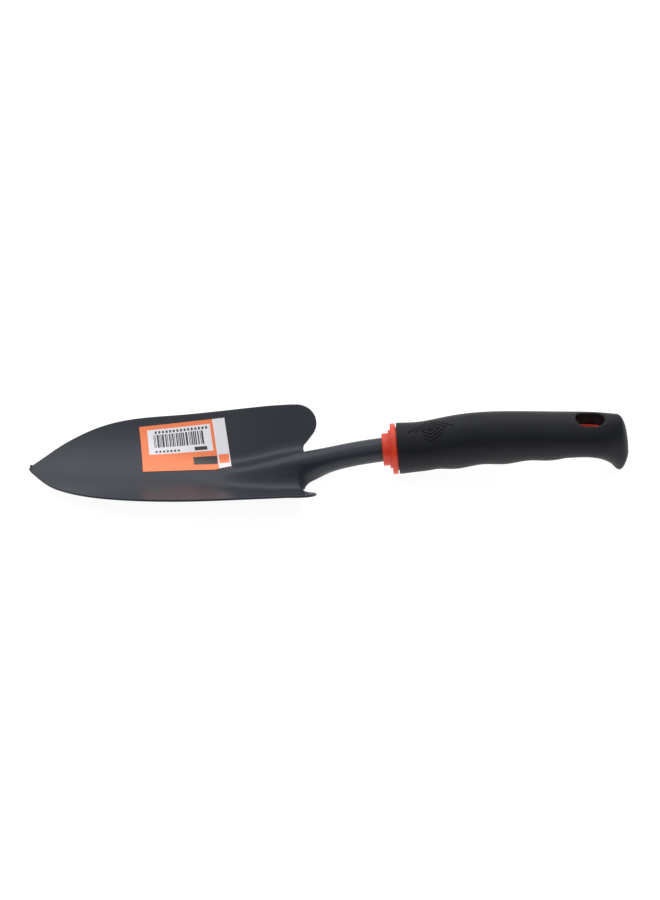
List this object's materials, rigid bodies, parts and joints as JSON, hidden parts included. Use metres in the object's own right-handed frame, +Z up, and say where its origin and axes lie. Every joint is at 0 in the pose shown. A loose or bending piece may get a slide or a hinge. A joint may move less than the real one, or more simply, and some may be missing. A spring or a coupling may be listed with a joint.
{
  "type": "hand trowel",
  "caption": "Hand trowel with a dished, ridged steel blade, a neck rolled from the same sheet, and a moulded handle with a stepped collar, rubber grip and hanging slot.",
  "frame": {"origin": "on the surface the trowel lies on, under the middle of its overall length and width", "axes": "+X from the blade's tip towards the handle, +Y across, +Z up"},
  "size_m": [0.3204, 0.0728, 0.0377],
  "materials": {
    "coated_steel": "satin dark grey coating",
    "orange_plastic": "satin orange-red moulding",
    "black_rubber": "matt black, soft",
    "label_paper": "printed sticker, slightly glossy"
  },
  "bodies": {
    "root": {"blade": "coated_steel", "handle_core": "orange_plastic", "grip": "black_rubber", "label": "label_paper"}
  },
  "joints": []
}
